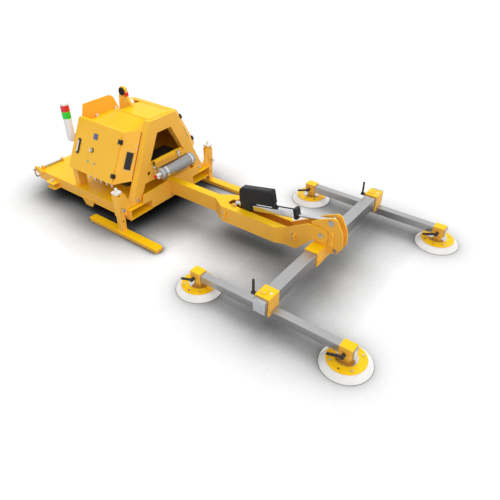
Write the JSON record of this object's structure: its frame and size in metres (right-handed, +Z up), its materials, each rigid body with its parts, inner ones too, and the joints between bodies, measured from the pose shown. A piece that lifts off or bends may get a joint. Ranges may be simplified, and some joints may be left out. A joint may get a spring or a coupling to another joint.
{
  "type": "glass panel lifter",
  "caption": "counterweighted vacuum lifter for glass panels: base with crane lug and fork pockets, boom, powered tilting head, sliding suction cups",
  "frame": {"origin": "on the floor, under the centre of the bounding box; y = 0 is the suction frame's centre plane", "axes": "+X towards the suction frame, +Y to the side away from the signal mast, +Z up"},
  "size_m": [3.4542, 1.862, 0.979],
  "materials": {
    "yellow_paint": "gloss",
    "galvanised": "satin",
    "bright_steel": "polished",
    "aluminium": "satin",
    "black_paint": "satin",
    "black_plastic": "matte",
    "white_rubber": "matte",
    "white_plastic": "gloss",
    "red_lens": "gloss",
    "green_lens": "gloss",
    "red_plastic": "gloss",
    "cast_ballast": "rough",
    "grey_paint": "satin"
  },
  "bodies": {
    "machine": {"base_frame": "yellow_paint", "fork_pockets": "yellow_paint", "front_beam": "yellow_paint", "rear_hardware": "galvanised", "leg_sleeves": "yellow_paint", "leg_plungers": "bright_steel", "a_frame": "yellow_paint", "lifting_beam": "yellow_paint", "crane_lug": "yellow_paint", "lug_bush": "black_paint", "lug_keeper": "red_plastic", "cabinet_shell": "yellow_paint", "cabinet_fittings": "black_plastic", "rear_guard": "yellow_paint", "ballast": "cast_ballast", "vacuum_pump": "aluminium", "battery": "black_plastic", "reservoir": "grey_paint", "reservoir_brackets": "bright_steel", "reservoir_fitting": "white_plastic", "signal_mast": "white_plastic", "signal_red": "red_lens", "signal_green": "green_lens", "boom": "yellow_paint", "boom_pins": "galvanised"},
    "near_leg": {"near_leg": "yellow_paint"},
    "far_leg": {"far_leg": "yellow_paint"},
    "near_door": {"near_door": "yellow_paint", "near_door_fittings": "black_plastic"},
    "far_door": {"far_door": "yellow_paint"},
    "near_door_handle": {"near_door_handle": "bright_steel"},
    "far_door_handle": {"far_door_handle": "bright_steel"},
    "rotary_switch": {"rotary_switch": "bright_steel"},
    "valve_knob": {"valve_knob": "red_plastic"},
    "head": {"head_plates": "yellow_paint", "head_sleeve": "yellow_paint", "head_pins": "galvanised"},
    "actuator": {"actuator_body": "aluminium", "actuator_motor": "black_paint"},
    "actuator_rod": {"actuator_rod": "bright_steel"},
    "cross_beam": {"cross_beam": "aluminium", "beam_caps": "aluminium"},
    "carriage_near": {"carriage_near": "yellow_paint", "side_beam_near": "aluminium"},
    "carriage_far": {"carriage_far": "yellow_paint", "side_beam_far": "aluminium"},
    "carriage_lever_near": {"carriage_lever_near": "black_plastic"},
    "carriage_lever_far": {"carriage_lever_far": "black_plastic"},
    "pad_near_rear": {"pad_holder_near_rear": "yellow_paint", "cup_near_rear": "white_rubber"},
    "pad_lever_near_rear": {"pad_lever_near_rear": "black_plastic"},
    "pad_far_rear": {"pad_holder_far_rear": "yellow_paint", "cup_far_rear": "white_rubber"},
    "pad_lever_far_rear": {"pad_lever_far_rear": "black_plastic"},
    "pad_near_front": {"pad_holder_near_front": "yellow_paint", "cup_near_front": "white_rubber"},
    "pad_lever_near_front": {"pad_lever_near_front": "black_plastic"},
    "pad_far_front": {"pad_holder_far_front": "yellow_paint", "cup_far_front": "white_rubber"},
    "pad_lever_far_front": {"pad_lever_far_front": "black_plastic"}
  },
  "joints": [
    {"name": "head_tilt", "type": "hinge", "parent": "machine", "child": "head", "pos_m": [0.99285, -0.08, 0.336], "axis": [0, -1, 0], "range_deg": [0, 90]},
    {"name": "actuator_swing", "type": "hinge", "parent": "machine", "child": "actuator", "pos_m": [0.21785, -0.08, 0.286], "axis": [0, -1, 0], "range_deg": [-1.53, 0]},
    {"name": "rod_slide", "type": "slide", "parent": "actuator", "child": "actuator_rod", "axis": [0.9803, 0, 0.1975], "range_m": [-0.19002, 0]},
    {"name": "cross_beam_shift", "type": "slide", "parent": "head", "child": "cross_beam", "axis": [0, 1, 0], "range_m": [-0.16, 0]},
    {"name": "carriage_shift_near", "type": "slide", "parent": "cross_beam", "child": "carriage_near", "axis": [0, 1, 0], "range_m": [0, 0.3]},
    {"name": "carriage_lever_near", "type": "hinge", "parent": "carriage_near", "child": "carriage_lever_near", "pos_m": [0.89985, -0.796, 0.236], "axis": [1, 0, 0], "range_deg": [-90, 90]},
    {"name": "near_leg_lift", "type": "slide", "parent": "machine", "child": "near_leg", "axis": [0, 0, 1], "range_m": [0, 0.116]},
    {"name": "near_door_swing", "type": "hinge", "parent": "machine", "child": "near_door", "pos_m": [-0.64715, -0.48345, 0.57191], "axis": [0, 0.4653, 0.8852], "range_deg": [0, 95]},
    {"name": "near_handle_turn", "type": "hinge", "parent": "near_door", "child": "near_door_handle", "pos_m": [-1.11015, -0.49244, 0.5677], "axis": [0, -0.8852, 0.4653], "range_deg": [0, 90]},
    {"name": "carriage_shift_far", "type": "slide", "parent": "cross_beam", "child": "carriage_far", "axis": [0, 1, 0], "range_m": [-0.3, 0]},
    {"name": "carriage_lever_far", "type": "hinge", "parent": "carriage_far", "child": "carriage_lever_far", "pos_m": [0.89985, 0.736, 0.236], "axis": [1, 0, 0], "range_deg": [-90, 90]},
    {"name": "far_leg_lift", "type": "slide", "parent": "machine", "child": "far_leg", "axis": [0, 0, 1], "range_m": [0, 0.116]},
    {"name": "far_door_swing", "type": "hinge", "parent": "machine", "child": "far_door", "pos_m": [-0.64715, 0.32345, 0.57191], "axis": [0, 0.4653, -0.8852], "range_deg": [0, 95]},
    {"name": "far_handle_turn", "type": "hinge", "parent": "far_door", "child": "far_door_handle", "pos_m": [-1.11015, 0.33244, 0.5677], "axis": [0, 0.8852, 0.4653], "range_deg": [0, 90]},
    {"name": "switch_turn", "type": "hinge", "parent": "near_door", "child": "rotary_switch", "pos_m": [-0.94615, -0.48459, 0.56868], "axis": [0, -0.8852, 0.4653], "range_deg": [0, 90]},
    {"name": "valve_turn", "type": "hinge", "parent": "machine", "child": "valve_knob", "pos_m": [-0.39515, -0.326, 0.44], "axis": [0, -1, 0], "range_deg": [0, 90]},
    {"name": "pad_slide_near_rear", "type": "slide", "parent": "carriage_near", "child": "pad_near_rear", "axis": [1, 0, 0], "range_m": [0, 0.25]},
    {"name": "pad_lever_near_rear", "type": "hinge", "parent": "pad_near_rear", "child": "pad_lever_near_rear", "pos_m": [0.40755, -0.8355, 0.119], "axis": [0, 1, 0], "range_deg": [0, 90]},
    {"name": "pad_slide_far_rear", "type": "slide", "parent": "carriage_far", "child": "pad_far_rear", "axis": [1, 0, 0], "range_m": [0, 0.25]},
    {"name": "pad_lever_far_rear", "type": "hinge", "parent": "pad_far_rear", "child": "pad_lever_far_rear", "pos_m": [0.40755, 0.6965, 0.119], "axis": [0, 1, 0], "range_deg": [0, 90]},
    {"name": "pad_slide_near_front", "type": "slide", "parent": "carriage_near", "child": "pad_near_front", "axis": [1, 0, 0], "range_m": [-0.25, 0]},
    {"name": "pad_lever_near_front", "type": "hinge", "parent": "pad_near_front", "child": "pad_lever_near_front", "pos_m": [1.56215, -0.8355, 0.119], "axis": [0, 1, 0], "range_deg": [0, 90]},
    {"name": "pad_slide_far_front", "type": "slide", "parent": "carriage_far", "child": "pad_far_front", "axis": [1, 0, 0], "range_m": [-0.25, 0]},
    {"name": "pad_lever_far_front", "type": "hinge", "parent": "pad_far_front", "child": "pad_lever_far_front", "pos_m": [1.56215, 0.6965, 0.119], "axis": [0, 1, 0], "range_deg": [0, 90]}
  ],
  "couplings": [
    {"joint": "actuator_swing", "follows": "head_tilt", "ratio": -0.017003},
    {"joint": "rod_slide", "follows": "head_tilt", "m_per_rad": -0.12097}
  ]
}
